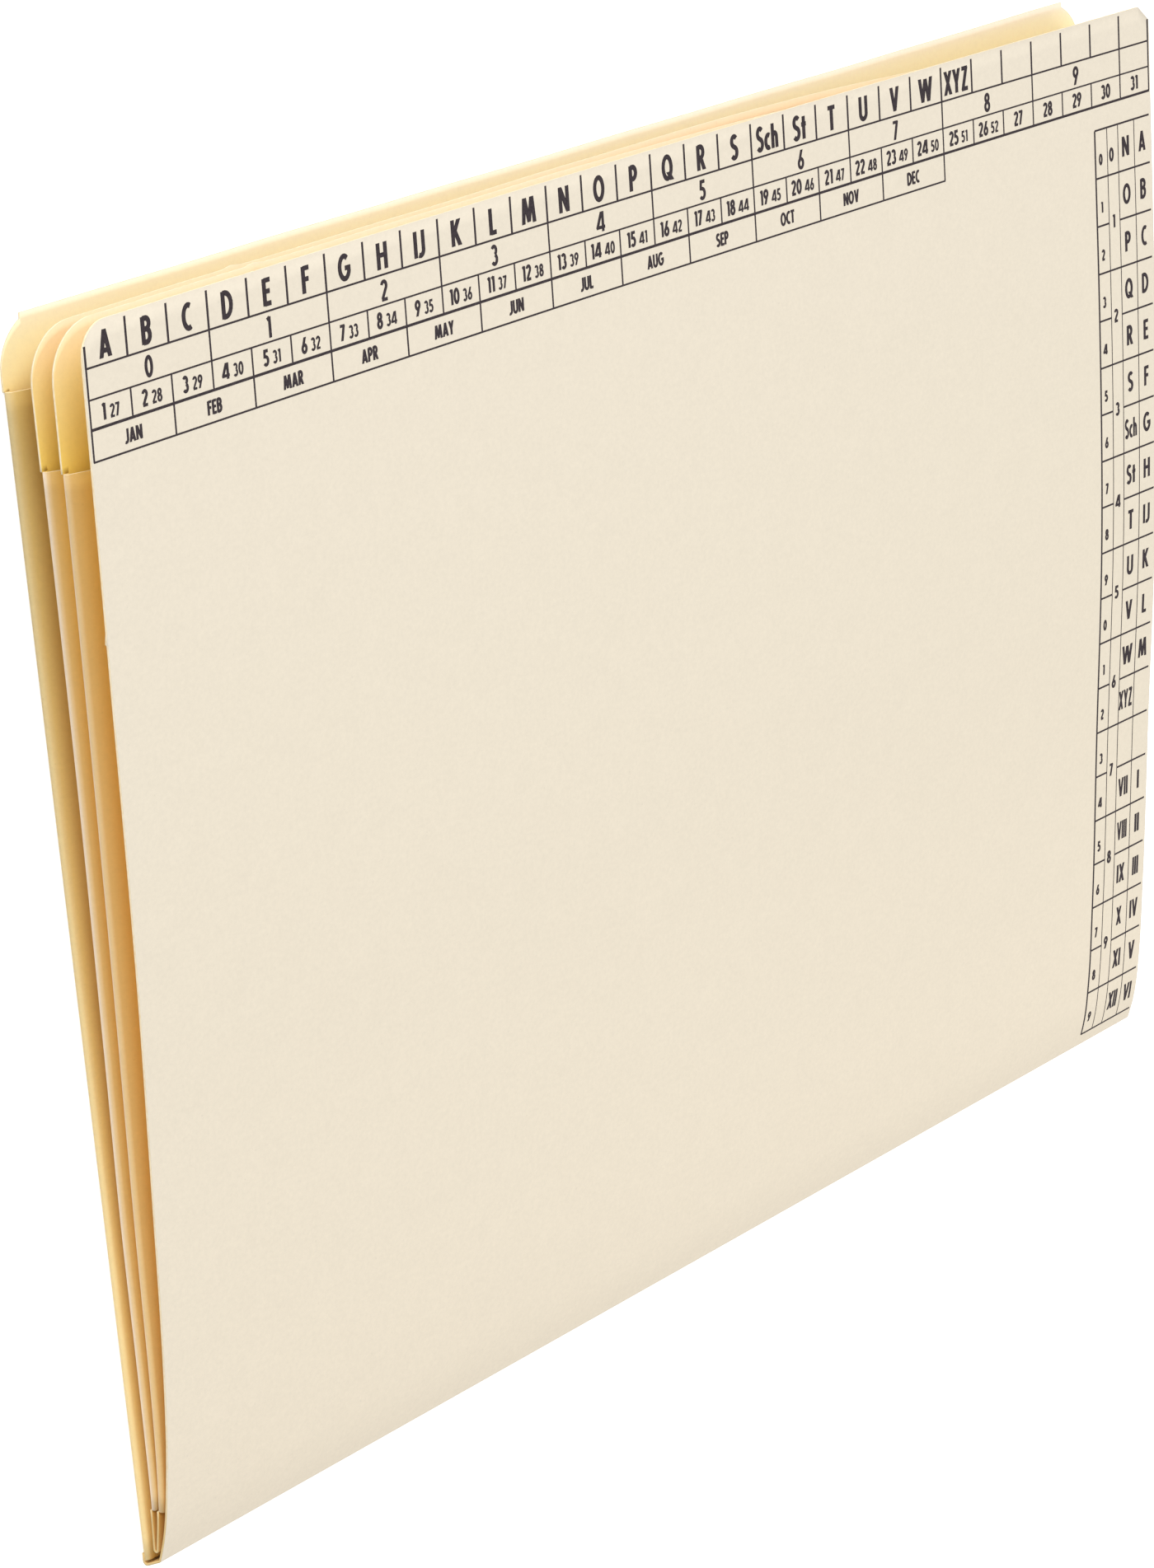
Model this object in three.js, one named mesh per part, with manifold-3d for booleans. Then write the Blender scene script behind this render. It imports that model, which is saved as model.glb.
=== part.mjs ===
// Expanding file folder: two sheets of card, folded and nested. The outer sheet is the back, the
// spine and the front. The inner sheet is the two dividers. Their side flaps close three pockets
// that open at the top. It lies on its back. Millimetres, +Z up: X runs across the leaves, Y from
// the spine to the pocket mouths, and Z from the back to the front.

import * as THREE from 'three';
import { mergeVertices } from 'three/addons/utils/BufferGeometryUtils.js';
import initManifold from 'manifold-3d';

const { Manifold, Mesh: SolidMesh } = await initManifold().then((library) => {
  library.setup();
  return library;
});

// Card

const cardThickness = 0.4;
const glueGap = 0.3;
const foldRadius = 0.6;
const leafWidth = 311.2;

// The front's top edge from the spine, how much lower the others' are at left, and how far the three
// rear leaves stand out of square at right

const leafHeight = 226.7;
const backDrop = 0.3;
const rearDividerDrop = 1.7;
const frontDividerDrop = 0.9;
const outOfSquare = 1.1;

const backHeight = leafHeight - backDrop;
const rearDividerHeight = leafHeight - rearDividerDrop;
const frontDividerHeight = leafHeight - frontDividerDrop;

// Spine: where the card turns from the back to the spine and from the spine to the front

const spineRise = 4.05;
const spineLean = 1.7;

// Fold of the inner sheet, just above the spine

const insertFoldStart = 4.0;
const insertFoldHeight = 3.2;
const insertFoldRadius = 0.4;

// How high each leaf's top edge stands above the back: at its left end, and what is added at right

const rearDividerMouth = 7.2;
const frontDividerMouth = 12.4;
const frontMouth = 19.7;
const backWarp = 6.0;
const rearDividerWarp = 5.0;
const frontDividerWarp = 5.5;
const frontWarp = 4.1;

// How far the middle of each top edge sags towards the back

const rearDividerSag = 1.2;
const frontDividerSag = 1.0;
const frontSag = 2.4;

// The back lies flat beside the spine, and the other leaves reach their full warp at this height

const flatFoot = 60;
const warpEnd = 180;

// Side flaps: where they start above the spine, how far below the front's top edge they end, how far
// in from the edge they are glued, and the glued width

const backFlapBottom = 2.6;
const backFlapDrop = 12.7;
const dividerFlapBottom = 11.8;
const dividerFlapDrop = 25.7;
const outerFlapReach = 11.8;
const dividerFlapReach = 5.0;
const gluedWidth = 8.0;

const backFlapTop = leafHeight - backFlapDrop;
const dividerFlapTop = leafHeight - dividerFlapDrop;

// Corners

const frontCornerRadius = 6.0;
const frontChamferAcross = 3.6;
const frontChamferDown = 3.2;
const leafCornerRadius = 10.0;
const backStepInset = 5.6;

// Bent form of each leaf, as [share of its height, share of its rise from fold to top edge]

const frontForm = [[0, 0], [0.021, 0.11], [0.046, 0.2], [0.104, 0.335], [0.19, 0.457], [0.33, 0.59],
  [0.5, 0.738], [0.75, 0.872], [1, 1]];
const frontDividerForm = [[0, 0], [0.036, 0.15], [0.117, 0.3], [0.28, 0.43], [0.48, 0.63],
  [0.7, 0.81], [1, 1]];
const rearDividerForm = [[0, 0], [0.036, 0.1], [0.15, 0.2], [0.28, 0.26], [0.43, 0.5], [0.66, 0.81],
  [1, 1]];

// Number of facets

const acrossSteps = 8;
const leafSteps = 16;
const foldSteps = 5;
const cornerSteps = 8;
const foldMargin = 1.5;

const smooth = THREE.MathUtils.smoothstep;
const mix = THREE.MathUtils.lerp;

// Share of the width, from 0 at the left edge to 1 at the right
const shareAcross = (x) => x / leafWidth + 0.5;

// A smooth curve through the form's points, read at one share of the height
function formAt(form, share) {
  const count = form.length - 1;
  const slope = (i, k) => (form[k][1] - form[i][1]) / (form[k][0] - form[i][0]);
  let i = 0;
  while (i < count - 1 && share > form[i + 1][0]) i += 1;
  const span = form[i + 1][0] - form[i][0];
  const t = (share - form[i][0]) / span;
  const before = slope(Math.max(i - 1, 0), i + 1) * span;
  const after = slope(i, Math.min(i + 2, count)) * span;
  const [from, to] = [form[i][1], form[i + 1][1]];
  return from + t * before + t * t * (3 * (to - from) - 2 * before - after)
    + t * t * t * (2 * (from - to) + before + after);
}

// Height of the middle of the card above the floor, for each leaf

const backLevel = (x, y) => cardThickness / 2
  + backWarp * shareAcross(x) * smooth(y, flatFoot, backHeight);

function bentLeaf({ form, start, foot, mouth, warp, sag, height }) {
  return (x, y) => {
    const share = (y - start) / (height - start);
    const across = shareAcross(x);
    return foot + (mouth - foot) * formAt(form, share)
      + warp * across * smooth(y, 0, warpEnd)
      - sag * 4 * across * (1 - across) * Math.max(y / height, 0);
  };
}

const rearDividerLevel = bentLeaf({
  form: rearDividerForm, start: insertFoldStart, foot: insertFoldHeight, mouth: rearDividerMouth,
  warp: rearDividerWarp, sag: rearDividerSag, height: rearDividerHeight,
});

const frontDividerLevel = bentLeaf({
  form: frontDividerForm, start: insertFoldStart, foot: insertFoldHeight + 2 * insertFoldRadius,
  mouth: frontDividerMouth, warp: frontDividerWarp, sag: frontDividerSag, height: frontDividerHeight,
});

const frontLevel = bentLeaf({
  form: frontForm, start: cardThickness / 2 + spineLean, foot: cardThickness / 2 + spineRise,
  mouth: frontMouth, warp: frontWarp, sag: frontSag, height: leafHeight,
});

// A closed solid from rows of card stations, each with its middle point and its outward normal
function cardSolid(rows) {
  const columns = rows[0].length;
  const count = rows.length * columns;
  const points = new Float32Array(count * 6);
  rows.flat().forEach(({ point, normal }, k) => {
    const half = normal.clone().multiplyScalar(cardThickness / 2);
    points.set(point.clone().sub(half).toArray(), k * 3);
    points.set(point.clone().add(half).toArray(), (k + count) * 3);
  });
  const faces = [];
  const quad = (a, b, c, d) => faces.push(a, b, c, a, c, d);
  const at = (i, j, outer) => i * columns + j + (outer ? count : 0);
  const last = rows.length - 1;
  for (let i = 0; i < last; i += 1) {
    for (let j = 0; j < columns - 1; j += 1) {
      quad(at(i, j), at(i, j + 1), at(i + 1, j + 1), at(i + 1, j));
      quad(at(i, j, true), at(i + 1, j, true), at(i + 1, j + 1, true), at(i, j + 1, true));
    }
    quad(at(i, 0), at(i + 1, 0), at(i + 1, 0, true), at(i, 0, true));
    const j = columns - 1;
    quad(at(i, j), at(i, j, true), at(i + 1, j, true), at(i + 1, j));
  }
  for (let j = 0; j < columns - 1; j += 1) {
    quad(at(0, j), at(0, j, true), at(0, j + 1, true), at(0, j + 1));
    quad(at(last, j), at(last, j + 1), at(last, j + 1, true), at(last, j, true));
  }
  return new Manifold(new SolidMesh({
    numProp: 3, vertProperties: points, triVerts: Uint32Array.from(faces),
  }));
}

const downward = new THREE.Vector3(0, 0, -1);
const upward = new THREE.Vector3(0, 0, 1);

const station = (x, y, z, normal) => ({ point: new THREE.Vector3(x, y, z), normal });

// Places across a leaf: close to both edges, where its flaps fold, and evenly between
function placesAcross() {
  const half = leafWidth / 2;
  const inner = half - foldMargin;
  const places = [];
  for (let i = 0; i <= acrossSteps; i += 1) places.push(mix(-inner, inner, i / acrossSteps));
  return { inner: places, full: [-half, ...places, half] };
}

// Stations of one flap at one Y, from its glued edge to the leaf. The side is -1 at left and 1 at
// right, the leaf folds round at its edge, and the flap is glued under the next leaf.
function flapStations(side, y, level, seat, reach) {
  const half = leafWidth / 2;
  const place = (inward) => side * (half - inward);
  const seatAt = (inward) => seat(place(inward), y) - cardThickness - glueGap;
  const leafZ = level(place(foldMargin), y);
  const glue = [reach, seatAt(reach)];
  const radius = Math.min(foldRadius, (glue[1] - leafZ) / 2);
  const centre = [cardThickness / 2 + radius, leafZ + radius];
  const [run, rise] = [glue[0] - centre[0], glue[1] - centre[1]];
  const web = Math.sqrt(run * run + rise * rise - radius * radius);
  const slant = Math.atan2(rise, run) - Math.atan2(radius, web);
  const outward = (turn) => new THREE.Vector3(side * Math.sin(turn), 0, -Math.cos(turn));
  const stations = [];
  for (let i = 0; i <= foldSteps; i += 1) {
    const turn = (Math.PI - slant) * (i / foldSteps);
    const normal = outward(turn);
    stations.push(station(place(centre[0] - radius * Math.sin(turn)), y,
      centre[1] - radius * Math.cos(turn), normal));
  }
  stations.push(station(place(glue[0]), y, glue[1], outward(Math.PI - slant / 2)));
  const end = reach + gluedWidth;
  stations.push(station(place(end), y, seatAt(end), upward));
  return stations.reverse();
}

// A leaf with a flap folded over at each side, from one Y to another
function flappedLeaf({ level, seat, reach, bottom, top }) {
  const rows = [];
  for (let i = 0; i <= leafSteps; i += 1) {
    const y = mix(bottom, top, i / leafSteps);
    const leaf = placesAcross().inner.map((x) => station(x, y, level(x, y), downward));
    const left = flapStations(-1, y, level, seat, reach);
    const right = flapStations(1, y, level, seat, reach).reverse();
    rows.push([...left, ...leaf, ...right]);
  }
  return cardSolid(rows);
}

// The bare top of a leaf above its flaps. Its top edge rises to the right by what is out of square.
function bareTop({ level, bottom, top, steps }) {
  const rows = [];
  for (let i = 0; i <= steps; i += 1) {
    rows.push(placesAcross().full.map((x) => {
      const y = mix(bottom, top + outOfSquare * shareAcross(x), i / steps);
      return station(x, y, level(x, y), downward);
    }));
  }
  return cardSolid(rows);
}

// A path in the Y-Z plane with each inner corner rounded. Points are [y, z].
function roundedPath(corners, radii) {
  const path = [corners[0]];
  for (let i = 1; i < corners.length - 1; i += 1) {
    const corner = new THREE.Vector2(...corners[i]);
    const back = new THREE.Vector2(...corners[i - 1]).sub(corner).normalize();
    const on = new THREE.Vector2(...corners[i + 1]).sub(corner).normalize();
    const halfAngle = Math.acos(THREE.MathUtils.clamp(back.dot(on), -1, 1)) / 2;
    const radius = radii[i];
    const centre = back.clone().add(on).normalize().multiplyScalar(radius / Math.sin(halfAngle));
    const first = back.clone().multiplyScalar(radius / Math.tan(halfAngle)).sub(centre);
    const turn = (2 * halfAngle - Math.PI) * Math.sign(first.cross(back));
    centre.add(corner);
    for (let k = 0; k <= foldSteps; k += 1) {
      const spoke = first.clone().rotateAround(new THREE.Vector2(), turn * (k / foldSteps));
      path.push([centre.x + spoke.x, centre.y + spoke.y]);
    }
  }
  path.push(corners[corners.length - 1]);
  return path;
}

// Card that follows one Y-Z path for each place across. The outward side is on the path's right,
// and the normals at the ends stay upright where the card meets a leaf.
function foldedCard(pathAt, uprightStart, uprightEnd) {
  const columns = placesAcross().full.map((x) => {
    const path = pathAt(x);
    return path.map(([y, z], i) => {
      const before = path[Math.max(i - 1, 0)];
      const after = path[Math.min(i + 1, path.length - 1)];
      const along = new THREE.Vector2(after[0] - before[0], after[1] - before[1]).normalize();
      let normal = new THREE.Vector3(0, -along.y, along.x);
      if (i === 0 && uprightStart) normal = downward;
      if (i === path.length - 1 && uprightEnd) normal = upward;
      return station(x, y, z, normal);
    });
  });
  const rows = columns[0].map((_, i) => columns.map((column) => column[i]).reverse());
  return cardSolid(rows);
}

// Spine and front in one path, from the back's foot round both folds to the top edge
function spineAndFront(x) {
  const middle = cardThickness / 2;
  const firstFold = [middle, middle];
  const secondFold = [middle + spineLean, middle + spineRise];
  const leafStart = secondFold[0] + 3 * foldRadius;
  const leaf = [];
  for (let i = 0; i <= leafSteps; i += 1) {
    const y = mix(leafStart, leafHeight, (i / leafSteps) ** 1.5);
    leaf.push([y, frontLevel(x, y)]);
  }
  const foot = [backFlapBottom, middle];
  return [...roundedPath([foot, firstFold, secondFold, leaf[0]], [0, foldRadius, foldRadius]),
    ...leaf.slice(1)];
}

// The inner sheet's fold, from the foot of the rear divider round to the foot of the front one
function insertFold(x) {
  const steps = 3;
  const rear = [];
  const front = [];
  for (let i = 0; i <= steps; i += 1) {
    const y = mix(insertFoldStart, dividerFlapBottom, i / steps);
    rear.unshift([y, rearDividerLevel(x, y)]);
    front.push([y, frontDividerLevel(x, y)]);
  }
  const [low, high] = [rear[steps][1], front[0][1]];
  const radius = (high - low) / 2;
  const bend = [];
  for (let i = 1; i < foldSteps * 2; i += 1) {
    const turn = Math.PI * (i / (foldSteps * 2));
    bend.push([insertFoldStart - radius * Math.sin(turn), low + radius - radius * Math.cos(turn)]);
  }
  return [...rear, ...bend, ...front];
}

// Tools that cut the corners, as upright prisms from an outline in X and Y

function prism(shape) {
  const depth = 2 * (frontMouth + frontWarp);
  const extruded = new THREE.ExtrudeGeometry(shape, { depth, bevelEnabled: false });
  extruded.translate(0, 0, -depth / 4);
  extruded.deleteAttribute('normal');
  extruded.deleteAttribute('uv');
  const merged = mergeVertices(extruded);
  return new Manifold(new SolidMesh({
    numProp: 3,
    vertProperties: merged.attributes.position.array,
    triVerts: Uint32Array.from(merged.index.array),
  }));
}

// What a round corner takes off. It ends short of the full quarter where inset is below the radius.
function roundCorner(side, topY, radius, inset) {
  const overrun = 5;
  const half = leafWidth / 2;
  const outline = [[-overrun, radius]];
  const end = Math.acos(1 - inset / radius);
  for (let i = 0; i <= cornerSteps; i += 1) {
    const turn = end * (i / cornerSteps);
    outline.push([radius - radius * Math.cos(turn), radius - radius * Math.sin(turn)]);
  }
  outline.push([inset, -overrun], [-overrun, -overrun]);
  const points = outline.map(([inward, below]) => new THREE.Vector2(
    side * (half - inward), topY - below));
  return prism(new THREE.Shape(points));
}

function chamferCorner(topY, across, down) {
  const overrun = 5;
  const half = leafWidth / 2;
  const slope = down / across;
  return prism(new THREE.Shape([
    new THREE.Vector2(half - across - overrun, topY + slope * overrun),
    new THREE.Vector2(half + overrun, topY - down - slope * overrun),
    new THREE.Vector2(half + overrun, topY + slope * overrun),
  ]));
}

function cornered(leafTop, topY, inset) {
  const left = roundCorner(-1, topY, leafCornerRadius, inset);
  const right = roundCorner(1, topY + outOfSquare, leafCornerRadius, inset);
  return leafTop.subtract(left).subtract(right);
}

// The two sheets

function outerSheet() {
  const back = flappedLeaf({
    level: backLevel, seat: rearDividerLevel, reach: outerFlapReach,
    bottom: backFlapBottom, top: backFlapTop,
  });
  const backTop = bareTop({ level: backLevel, bottom: backFlapTop, top: backHeight, steps: 2 });
  const front = foldedCard(spineAndFront, true, false)
    .subtract(roundCorner(-1, leafHeight, frontCornerRadius, frontCornerRadius))
    .subtract(chamferCorner(leafHeight, frontChamferAcross, frontChamferDown));
  return Manifold.union([back, cornered(backTop, backHeight, backStepInset), front]);
}

function innerSheet() {
  const dividers = [
    { level: rearDividerLevel, seat: frontDividerLevel, reach: dividerFlapReach,
      height: rearDividerHeight },
    { level: frontDividerLevel, seat: frontLevel, reach: outerFlapReach,
      height: frontDividerHeight },
  ];
  const pieces = dividers.flatMap(({ level, seat, reach, height }) => [
    flappedLeaf({ level, seat, reach, bottom: dividerFlapBottom, top: dividerFlapTop }),
    cornered(bareTop({ level, bottom: dividerFlapTop, top: height, steps: 3 }), height,
      leafCornerRadius),
  ]);
  return Manifold.union([...pieces, foldedCard(insertFold, true, true)]);
}

function namedMesh(name, solid, color) {
  const { vertProperties, triVerts } = solid.getMesh();
  const indexed = new THREE.BufferGeometry();
  indexed.setAttribute('position', new THREE.BufferAttribute(vertProperties, 3));
  indexed.setIndex(new THREE.BufferAttribute(triVerts, 1));
  const geometry = indexed.toNonIndexed();
  geometry.computeVertexNormals();
  const material = new THREE.MeshStandardMaterial({ color, roughness: 0.85, metalness: 0 });
  const mesh = new THREE.Mesh(geometry, material);
  mesh.name = name;
  return mesh;
}

const folder = new THREE.Group();
folder.add(namedMesh('outer_cover', outerSheet(), 0xeee5d1));
folder.add(namedMesh('divider_insert', innerSheet(), 0xf2dfb4));

// The origin is on the floor under the middle of the whole folder
const middle = new THREE.Box3().setFromObject(folder).getCenter(new THREE.Vector3());
folder.children.forEach((mesh) => mesh.position.set(-middle.x, -middle.y, 0));

export default folder;
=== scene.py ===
"""Expanding file folder: two folded sheets of cream card with a printed index, lying on its back."""

import bpy
import numpy as np
from mathutils import Matrix


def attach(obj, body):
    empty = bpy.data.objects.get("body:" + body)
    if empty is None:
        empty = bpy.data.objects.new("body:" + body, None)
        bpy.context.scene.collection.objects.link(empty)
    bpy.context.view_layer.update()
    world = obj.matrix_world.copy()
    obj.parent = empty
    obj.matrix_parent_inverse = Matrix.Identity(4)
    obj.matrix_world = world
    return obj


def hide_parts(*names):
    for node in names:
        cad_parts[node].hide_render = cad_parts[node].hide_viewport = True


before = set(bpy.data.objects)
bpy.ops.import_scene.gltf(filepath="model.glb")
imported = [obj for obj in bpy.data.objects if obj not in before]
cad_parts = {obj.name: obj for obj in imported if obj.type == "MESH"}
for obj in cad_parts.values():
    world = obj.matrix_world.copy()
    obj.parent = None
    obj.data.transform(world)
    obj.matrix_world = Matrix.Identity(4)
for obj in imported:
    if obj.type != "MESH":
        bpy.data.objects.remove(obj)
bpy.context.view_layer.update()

# Sizes in millimetres, as in the part's source. X runs across the leaves, Y from the spine to the
# open top edges, Z up. The spine is at Y = 0 while the shapes are worked out.

MM = 0.001
MIDDLE_Y = 113.889
CARD = 0.4
GLUE_GAP = 0.3
FOLD_RADIUS = 0.6
WIDTH = 311.2
HALF = WIDTH / 2
FRONT_HEIGHT = 226.7
BACK_HEIGHT = 226.4
REAR_DIVIDER_HEIGHT = 225.0
FRONT_DIVIDER_HEIGHT = 225.8
OUT_OF_SQUARE = 1.1
SPINE_RISE = 4.05
SPINE_LEAN = 1.7
INSERT_FOLD = 4.0
INSERT_FOOT = 3.2
BACK_FLAP = (2.6, 214.0)
DIVIDER_FLAP = (11.8, 201.0)
WIDE_REACH = 11.8
NARROW_REACH = 5.0
GLUED = 8.0
FOLD_MARGIN = 1.5

# Leaves: the back's lift at its top right corner and its flat strip beside the spine, where the lift
# of the others ends, the height of the dividers' bend, and the flatter place low on the front, with
# the distances from the spine over which it comes and goes

BACK_LIFT = 6.0
FLAT_STRIP = 60
WARP_END = 180
INSERT_BEND = 0.8
FLATTENING = 0.6
FLATTENING_STARTS = (4, 36)
FLATTENING_ENDS = (55, 130)

# Corners and cut edges

CORNER_RADIUS = 10
STEP_INSET = 5.62
FRONT_CORNER_RADIUS = 6
FRONT_CUT_ACROSS, FRONT_CUT_DOWN = 3.6, 3.2
EDGE_WAVE = 0.12
FRAY_PLACE, FRAY_WIDTH, FRAY_HEIGHT = 50, 1.6, 0.4
NICKS = np.array([176.0, 173.1])
NICK_WIDTH, NICK_LENGTH, NICK_LIFT = 0.5, 1.3, 0.25
FIXED_PLACES = (FOLD_MARGIN, FRONT_CUT_ACROSS, 5.6, 5.64, 10.0)
LEAST_PLACE_STEP = 0.12

# Flaps: points round a fold, shares along the glued strip, how far the slack web bows and the rises
# over which the bow grows, how far the back flap's lower tip reaches down and how much less it does
# where it is high, and the powers that spread a flap's painted highlight and shade from its fold to
# the glue line

FOLD_STATIONS = 11
GLUED_STATIONS = np.array([0.35, 1.0])
WEB_SLACK = 0.25
SLACK_RISE = (1.5, 4.0)
TIP_REACH, TIP_LESS = 1.4, 0.8
TIP_BASE, TIP_SPAN = 0.4, 2.4
BACK_SPREAD, REAR_SPREAD, FRONT_SPREAD = 1.0, 1.5, 0.92

# Rise of each leaf: share of its length from the spine, and share of its height there

FRONT_FORM = [[0, 0], [0.021, 0.11], [0.046, 0.2], [0.104, 0.335], [0.19, 0.457], [0.33, 0.59],
              [0.5, 0.738], [0.75, 0.872], [1, 1]]
FRONT_DIVIDER_FORM = [[0, 0], [0.036, 0.15], [0.117, 0.3], [0.28, 0.43], [0.48, 0.63],
                      [0.7, 0.81], [1, 1]]
REAR_DIVIDER_FORM = [[0, 0], [0.036, 0.1], [0.15, 0.2], [0.28, 0.26], [0.43, 0.5], [0.66, 0.81],
                     [1, 1]]


def smoothstep(value, low, high):
    """0 below low and 1 above high, with the cubic 3t^2 - 2t^3 between."""
    t = np.clip((value - low) / (high - low), 0, 1)
    return t * t * (3 - 2 * t)


def form_at(form, share):
    """A smooth curve through the form's points: a cubic between each two, whose slope at a point is
    that of the line between its neighbours."""
    knots, levels = np.array(form, float).T
    after = np.minimum(np.arange(len(knots)) + 1, len(knots) - 1)
    before = np.maximum(np.arange(len(knots)) - 1, 0)
    slopes = (levels[after] - levels[before]) / (knots[after] - knots[before])
    i = np.clip(np.searchsorted(knots, share) - 1, 0, len(knots) - 2)
    span = knots[i + 1] - knots[i]
    t = (share - knots[i]) / span
    rise = levels[i + 1] - levels[i]
    start, end = slopes[i] * span, slopes[i + 1] * span
    return levels[i] + t * start + t**2 * (3 * rise - 2 * start - end) + t**3 * (start + end - 2 * rise)


def share_across(x):
    """Share of the width, from 0 at the left edge to 1 at the right."""
    return x / WIDTH + 0.5


def back_level(x, y):
    """Height of the back's middle surface: flat beside the spine, and lifted towards the top right."""
    return CARD / 2 + BACK_LIFT * share_across(x) * smoothstep(y, FLAT_STRIP, BACK_HEIGHT)


def bent_leaf(form, start, foot, mouth, warp, sag, height):
    """Height of a leaf's middle surface: the form's rise from the foot to the mouth, plus a lift that
    grows to the right, less a sag that is deepest at mid width and grows with the height."""
    def level(x, y):
        """Height at a place of the leaf."""
        across = share_across(x)
        return (foot + (mouth - foot) * form_at(form, (y - start) / (height - start))
                + warp * across * smoothstep(y, 0, WARP_END)
                - sag * 4 * across * (1 - across) * np.maximum(y / height, 0))
    return level


rear_divider_level = bent_leaf(
    REAR_DIVIDER_FORM, INSERT_FOLD, INSERT_FOOT,
    mouth=7.2, warp=5.0, sag=1.2, height=REAR_DIVIDER_HEIGHT)
front_divider_level = bent_leaf(
    FRONT_DIVIDER_FORM, INSERT_FOLD, INSERT_FOOT + INSERT_BEND,
    mouth=12.4, warp=5.5, sag=1.0, height=FRONT_DIVIDER_HEIGHT)
front_bend = bent_leaf(
    FRONT_FORM, CARD / 2 + SPINE_LEAN, CARD / 2 + SPINE_RISE,
    mouth=19.7, warp=4.1, sag=2.4, height=FRONT_HEIGHT)


def front_level(x, y):
    """Height of the front's middle surface: the bent leaf, 0.6 mm flatter low down at the right."""
    flatter = smoothstep(y, *FLATTENING_STARTS) * (1 - smoothstep(y, *FLATTENING_ENDS))
    return front_bend(x, y) - FLATTENING * share_across(x)**3 * flatter


def places_across():
    """Distances from the left edge. Near each edge they are the cosine steps of the corner arcs, so
    that a round corner has even facets, with fixed places at the fold, the cut and the square step.
    The rest are even."""
    arc = 1 - np.cos(np.radians(np.linspace(0, 90, 13)))
    near = np.concatenate([CORNER_RADIUS * arc, FRONT_CORNER_RADIUS * arc, FIXED_PLACES, [0.5, 1.0]])
    near = np.unique(np.round(near, 3))
    keep = [near[0]]
    for place in near[1:]:
        if place - keep[-1] > LEAST_PLACE_STEP or place in FIXED_PLACES:
            keep.append(place)
    near = np.array(keep)
    middle = np.linspace(CORNER_RADIUS, WIDTH - CORNER_RADIUS, 118)[1:-1]
    return np.concatenate([near, middle, (WIDTH - near)[::-1]])


ACROSS = places_across()
X = ACROSS - HALF
EDGE_COLUMN = int(np.argmin(abs(ACROSS - FOLD_MARGIN)))


def corner_drop(inward, radius, inset):
    """How far an arc of this radius takes the top edge down at a distance in from the side edge. The
    arc stops at the inset, with a small square step up to the straight edge."""
    drop = radius - np.sqrt(np.maximum(radius**2 - (radius - np.minimum(inward, radius))**2, 0))
    return np.where(inward < inset, drop, 0)


def waviness(x, seed):
    """Cut edges are not ruler-straight: the mean of three slow sines along the edge."""
    rng = np.random.default_rng(seed)
    phase = rng.uniform(0, 6.28, 3)
    return EDGE_WAVE * sum(np.sin(x / length + p) for length, p in zip((41.0, 17.0, 7.3), phase)) / 3


def back_top():
    """Top edge of the back: straight, rising to the right, with arcs that end in a square step."""
    left = corner_drop(ACROSS, CORNER_RADIUS, STEP_INSET)
    right = corner_drop(WIDTH - ACROSS, CORNER_RADIUS, STEP_INSET)
    return BACK_HEIGHT + OUT_OF_SQUARE * share_across(X) - left - right + waviness(X, 1)


def divider_top(height, seed, low_right, start):
    """Top edge of a divider: straight, rising to the right, with a quarter-round at each corner. From
    a start on it drops smoothly by low_right, so that it goes behind the front. A small fray stands up
    near the left as a bell curve."""
    left = corner_drop(ACROSS, CORNER_RADIUS, CORNER_RADIUS)
    right = corner_drop(WIDTH - ACROSS, CORNER_RADIUS, CORNER_RADIUS)
    fray = FRAY_HEIGHT * np.exp(-((ACROSS - FRAY_PLACE) / FRAY_WIDTH)**2)
    drop = low_right * smoothstep(ACROSS, start, WIDTH - CORNER_RADIUS) - fray
    return height + OUT_OF_SQUARE * share_across(X) - drop - left - right + waviness(X, seed)


def front_top():
    """Top edge of the front: a small quarter-round at the left and a straight cut at the right."""
    left = corner_drop(ACROSS, FRONT_CORNER_RADIUS, FRONT_CORNER_RADIUS)
    right = FRONT_CUT_DOWN * np.clip(1 - (WIDTH - ACROSS) / FRONT_CUT_ACROSS, 0, 1)
    return FRONT_HEIGHT - left - right


def rounded(corner, before, after, radius, steps):
    """A corner of a path taken round by an arc of this radius: the arc's centre is on the bisector,
    radius / sin(half the corner's angle) away. All are arrays of [y, z], one for each place across."""
    back = (before - corner) / np.linalg.norm(before - corner, axis=1)[:, None]
    on = (after - corner) / np.linalg.norm(after - corner, axis=1)[:, None]
    half = np.arccos(np.clip((back * on).sum(1), -1, 1)) / 2
    bisector = (back + on) / np.linalg.norm(back + on, axis=1)[:, None]
    centre = corner + bisector * (radius / np.sin(half))[:, None]
    first = corner + back * (radius / np.tan(half))[:, None] - centre
    last = corner + on * (radius / np.tan(half))[:, None] - centre
    a, b = np.arctan2(first[:, 1], first[:, 0]), np.arctan2(last[:, 1], last[:, 0])
    turn = (b - a + np.pi) % (2 * np.pi) - np.pi
    angle = a[:, None] + turn[:, None] * np.linspace(0, 1, steps)[None, :]
    return centre[:, None, :] + radius * np.stack([np.cos(angle), np.sin(angle)], 2)


def rows_of(y, level):
    """Rows of points [x, y, z] across a leaf, for an array y of rows by places."""
    x = np.broadcast_to(X, y.shape)
    return np.stack([x, y, level(x, y)], 2)


def between(low, high, count):
    """Even rows from low to high, where either may change across the leaf."""
    t = np.linspace(0, 1, count)[:, None]
    low, high = np.broadcast_to(low, X.shape), np.broadcast_to(high, X.shape)
    return low + (high - low) * t


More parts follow.
